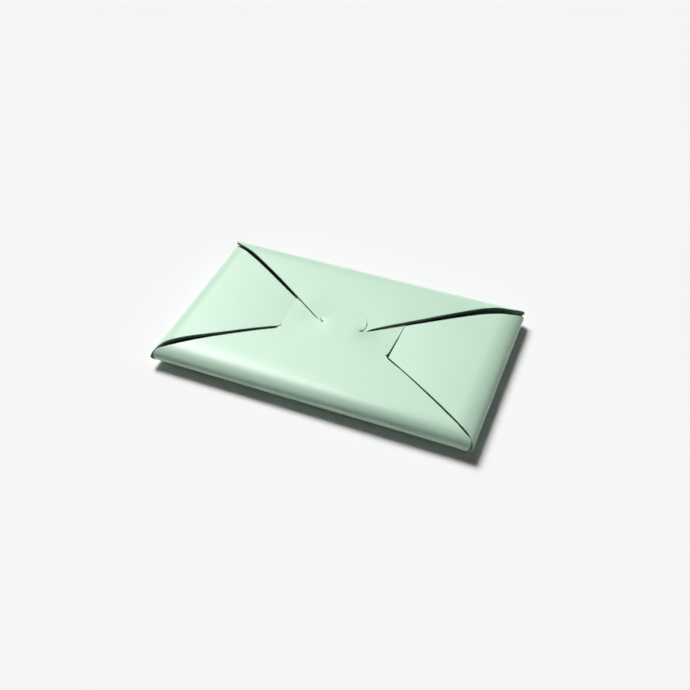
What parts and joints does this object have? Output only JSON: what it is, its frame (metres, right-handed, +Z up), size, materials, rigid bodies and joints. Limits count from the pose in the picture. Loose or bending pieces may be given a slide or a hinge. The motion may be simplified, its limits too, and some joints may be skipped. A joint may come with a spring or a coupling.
{
  "type": "card holder",
  "caption": "Fold-up leather card holder: one sheet folded like an envelope, its rear flap locked under a half-moon tongue.",
  "frame": {"origin": "centre of the closed holder's outline, on the surface it lies on", "axes": "+X along the long side, +Y towards the rear flap, +Z up out of the closed flaps"},
  "size_m": [0.105, 0.0624, 0.0079],
  "materials": {
    "leather": "smooth semi-gloss pigmented leather"
  },
  "bodies": {
    "base": {"base_panel": "leather", "front_foot": "leather", "rear_foot": "leather", "left_foot": "leather", "right_foot": "leather"},
    "front_spine": {"front_fold": "leather"},
    "front_leaf": {"front_flap": "leather", "head": "leather", "tongue": "leather", "lock_band": "leather"},
    "rear_spine": {"rear_fold": "leather"},
    "rear_leaf": {"rear_flap": "leather", "rear_tip": "leather"},
    "left_spine": {"left_fold": "leather"},
    "left_leaf": {"left_flap": "leather", "left_tip": "leather"},
    "right_spine": {"right_fold": "leather"},
    "right_leaf": {"right_flap": "leather", "right_tip": "leather"}
  },
  "joints": [
    {"name": "front_fold_lower", "type": "hinge", "parent": "base", "child": "front_spine", "pos_m": [0, -0.0302, 0.00105], "axis": [1, 0, 0], "range_deg": [0, 89]},
    {"name": "front_fold_upper", "type": "hinge", "parent": "front_spine", "child": "front_leaf", "pos_m": [0, -0.0302, 0.00615], "axis": [1, 0, 0], "range_deg": [0, 89], "deforming": ["tongue", "lock_band"]},
    {"name": "rear_fold_lower", "type": "hinge", "parent": "base", "child": "rear_spine", "pos_m": [0, 0.03017, 0.00108], "axis": [-1, 0, 0], "range_deg": [0, 89]},
    {"name": "rear_fold_upper", "type": "hinge", "parent": "rear_spine", "child": "rear_leaf", "pos_m": [0, 0.03017, 0.00632], "axis": [-1, 0, 0], "range_deg": [0, 89], "deforming": ["rear_tip"]},
    {"name": "left_fold_lower", "type": "hinge", "parent": "base", "child": "left_spine", "pos_m": [-0.05142, 0, 0.00108], "axis": [0, -1, 0], "range_deg": [0, 89]},
    {"name": "left_fold_upper", "type": "hinge", "parent": "left_spine", "child": "left_leaf", "pos_m": [-0.05142, 0, 0.00632], "axis": [0, -1, 0], "range_deg": [0, 89], "deforming": ["left_tip"]},
    {"name": "right_fold_lower", "type": "hinge", "parent": "base", "child": "right_spine", "pos_m": [0.05145, 0, 0.00105], "axis": [0, 1, 0], "range_deg": [0, 89]},
    {"name": "right_fold_upper", "type": "hinge", "parent": "right_spine", "child": "right_leaf", "pos_m": [0.05145, 0, 0.00615], "axis": [0, 1, 0], "range_deg": [0, 89], "deforming": ["right_tip"]}
  ],
  "couplings": [
    {"joint": "front_fold_upper", "follows": "front_fold_lower", "ratio": 1},
    {"joint": "rear_fold_upper", "follows": "rear_fold_lower", "ratio": 1},
    {"joint": "left_fold_upper", "follows": "left_fold_lower", "ratio": 1},
    {"joint": "right_fold_upper", "follows": "right_fold_lower", "ratio": 1}
  ]
}
